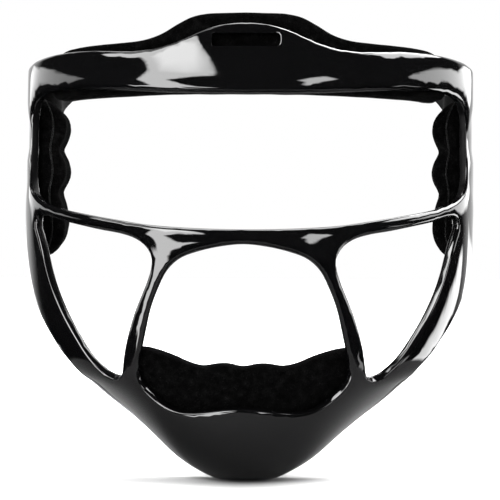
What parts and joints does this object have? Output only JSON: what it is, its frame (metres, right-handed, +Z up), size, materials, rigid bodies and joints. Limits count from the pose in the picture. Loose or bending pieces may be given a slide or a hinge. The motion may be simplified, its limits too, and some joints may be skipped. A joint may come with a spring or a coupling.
{
  "type": "fielder's face mask",
  "caption": "Wrap-round moulded face mask for ball sports, with wide eye opening, open mouth area, padded brow, temples and chin, and an elastic rear strap.",
  "frame": {"origin": "middle of the small flat on the underside of the chin bowl", "axes": "+Z up, the mask faces -Y, +X to the right seen from the front (the wearer's left)"},
  "size_m": [0.2116, 0.2195, 0.2135],
  "materials": {
    "guard_plastic": "polished injection-moulded black",
    "pad_foam": "closed-cell foam, matt black",
    "pad_cloth": "brushed loop fabric, matt black",
    "hook_tape": "moulded hook tape, dull black",
    "elastic": "ribbed woven elastic, black",
    "trim_plastic": "satin black"
  },
  "bodies": {
    "frame": {"face_guard": "guard_plastic", "hook_patch_forehead_centre": "hook_tape", "hook_patch_forehead_R": "hook_tape", "hook_patch_forehead_L": "hook_tape", "hook_patch_temple_upper_R": "hook_tape", "hook_patch_temple_upper_L": "hook_tape", "hook_patch_temple_lower_R": "hook_tape", "hook_patch_temple_lower_L": "hook_tape", "hook_patch_chin_R": "hook_tape", "hook_patch_chin_L": "hook_tape"},
    "forehead_pad": {"forehead_pad_foam": "pad_foam", "forehead_pad_facing": "pad_cloth"},
    "side_pad_R": {"side_pad_R_foam": "pad_foam", "side_pad_R_facing": "pad_cloth"},
    "side_pad_L": {"side_pad_L_foam": "pad_foam", "side_pad_L_facing": "pad_cloth"},
    "chin_pad": {"chin_pad_foam": "pad_foam", "chin_pad_facing": "pad_cloth"},
    "strap_R": {"rear_strap_R": "elastic"},
    "strap_L": {"rear_strap_L": "elastic", "rear_ring": "trim_plastic"},
    "slider_R": {"strap_slider_R": "trim_plastic"},
    "slider_L": {"strap_slider_L": "trim_plastic"}
  },
  "joints": [
    {"name": "forehead_pad_lift", "type": "slide", "parent": "frame", "child": "forehead_pad", "axis": [0, 0.6, 0.8], "range_m": [0, 0.06]},
    {"name": "side_pad_R_lift", "type": "slide", "parent": "frame", "child": "side_pad_R", "axis": [-1, 0, 0], "range_m": [0, 0.05]},
    {"name": "side_pad_L_lift", "type": "slide", "parent": "frame", "child": "side_pad_L", "axis": [1, 0, 0], "range_m": [0, 0.05]},
    {"name": "chin_pad_lift", "type": "slide", "parent": "frame", "child": "chin_pad", "axis": [0, 0.9, 0.4359], "range_m": [0, 0.08]},
    {"name": "strap_R_swing", "type": "hinge", "parent": "frame", "child": "strap_R", "pos_m": [0.09881, 0.07753, 0.1775], "axis": [0, 0, -1], "range_deg": [0, 100]},
    {"name": "strap_L_swing", "type": "hinge", "parent": "frame", "child": "strap_L", "pos_m": [-0.09881, 0.07753, 0.1775], "axis": [0, 0, 1], "range_deg": [0, 100]},
    {"name": "slider_R_adjust", "type": "slide", "parent": "strap_R", "child": "slider_R", "axis": [-0.3401, 0.9404, 0], "range_m": [0, 0.014]},
    {"name": "slider_L_adjust", "type": "slide", "parent": "strap_L", "child": "slider_L", "axis": [0.3401, 0.9404, 0], "range_m": [0, 0.014]}
  ]
}
